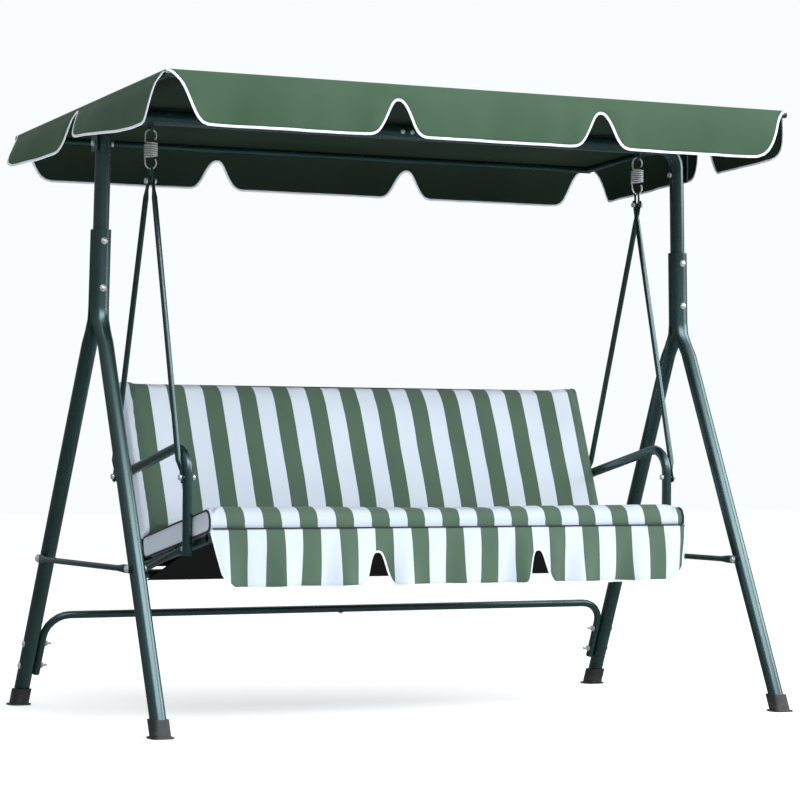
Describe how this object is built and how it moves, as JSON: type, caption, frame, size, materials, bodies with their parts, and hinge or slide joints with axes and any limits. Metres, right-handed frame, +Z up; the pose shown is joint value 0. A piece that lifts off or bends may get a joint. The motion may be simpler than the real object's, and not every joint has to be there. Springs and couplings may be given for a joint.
{
  "type": "canopy swing bench",
  "caption": "Garden swing bench for three on an A-frame, hung from springs, with striped cushions and a tilting scalloped fabric canopy.",
  "frame": {"origin": "centre of the bounding box on the ground plane, under the middle of the bench", "axes": "+X along the bench, -Y the way the sitter faces, +Z up"},
  "size_m": [1.7402, 0.9862, 1.509],
  "materials": {
    "frame_paint": "satin dark green powder coat",
    "zinc": "bright zinc plate",
    "foot_plastic": "matt moulded dark grey plastic",
    "sling": "matt black woven sling",
    "cushion": "woven polyester in broad green and white stripes",
    "canopy_fabric": "plain green woven polyester"
  },
  "bodies": {
    "seat": {"arm_bolt_front_left": "zinc", "arm_bolt_front_right": "zinc", "arm_bolt_rear_left": "zinc", "arm_bolt_rear_right": "zinc", "arm_left": "frame_paint", "arm_right": "frame_paint", "back_cushion": "cushion", "back_sling": "sling", "back_top_bar": "frame_paint", "back_upright_left": "frame_paint", "back_upright_right": "frame_paint", "hanger_pivot_bolt_left": "zinc", "hanger_pivot_bolt_right": "zinc", "hanger_rod_front_left": "frame_paint", "hanger_rod_front_right": "frame_paint", "hanger_rod_rear_left": "frame_paint", "hanger_rod_rear_right": "frame_paint", "seat_cushion": "cushion", "seat_flap": "cushion", "seat_front_bar": "frame_paint", "seat_rail_left": "frame_paint", "seat_rail_right": "frame_paint", "seat_rear_bar": "frame_paint", "seat_sling": "sling", "seat_strut_left": "frame_paint", "seat_strut_right": "frame_paint"},
    "frame": {"base_bar_insert": "frame_paint", "base_bar_left": "frame_paint", "base_bar_right": "frame_paint", "canopy_pivot_bolt_left": "zinc", "canopy_pivot_bolt_right": "zinc", "crossbar_insert": "frame_paint", "foot_front_left": "foot_plastic", "foot_front_right": "foot_plastic", "foot_rear_left": "foot_plastic", "foot_rear_right": "foot_plastic", "hook_eye_left": "frame_paint", "hook_eye_right": "frame_paint", "leg_front_left": "frame_paint", "leg_front_right": "frame_paint", "leg_rear_left": "frame_paint", "leg_rear_right": "frame_paint", "post_left": "frame_paint", "post_right": "frame_paint", "side_brace_left": "frame_paint", "side_brace_right": "frame_paint"},
    "canopy": {"canopy_bracket_left": "frame_paint", "canopy_bracket_right": "frame_paint", "canopy_cover": "canopy_fabric", "canopy_front_bar": "frame_paint", "canopy_rear_bar": "frame_paint", "canopy_side_bar_left": "frame_paint", "canopy_side_bar_right": "frame_paint"},
    "links": {"hanger_link_left": "frame_paint", "hanger_link_right": "frame_paint"},
    "springs": {"spring_left": "zinc", "spring_right": "zinc"}
  },
  "joints": [
    {"name": "swing", "type": "hinge", "parent": "frame", "child": "springs", "pos_m": [0, -0.0188, 1.4105], "axis": [1, 0, 0], "range_deg": [-20, 20]},
    {"name": "bounce", "type": "slide", "parent": "springs", "child": "links", "axis": [0, 0, -1], "range_m": [0, 0.025], "stiffness_N_per_m": 60000, "springref_m": -0.006, "deforming": ["spring_left", "spring_right"]},
    {"name": "seat_pitch", "type": "hinge", "parent": "links", "child": "seat", "pos_m": [0, -0.0188, 1.292], "axis": [1, 0, 0], "range_deg": [-8, 8]},
    {"name": "canopy_tilt", "type": "hinge", "parent": "frame", "child": "canopy", "pos_m": [0, -0.0188, 1.375], "axis": [1, 0, 0], "range_deg": [-15, 15]}
  ]
}
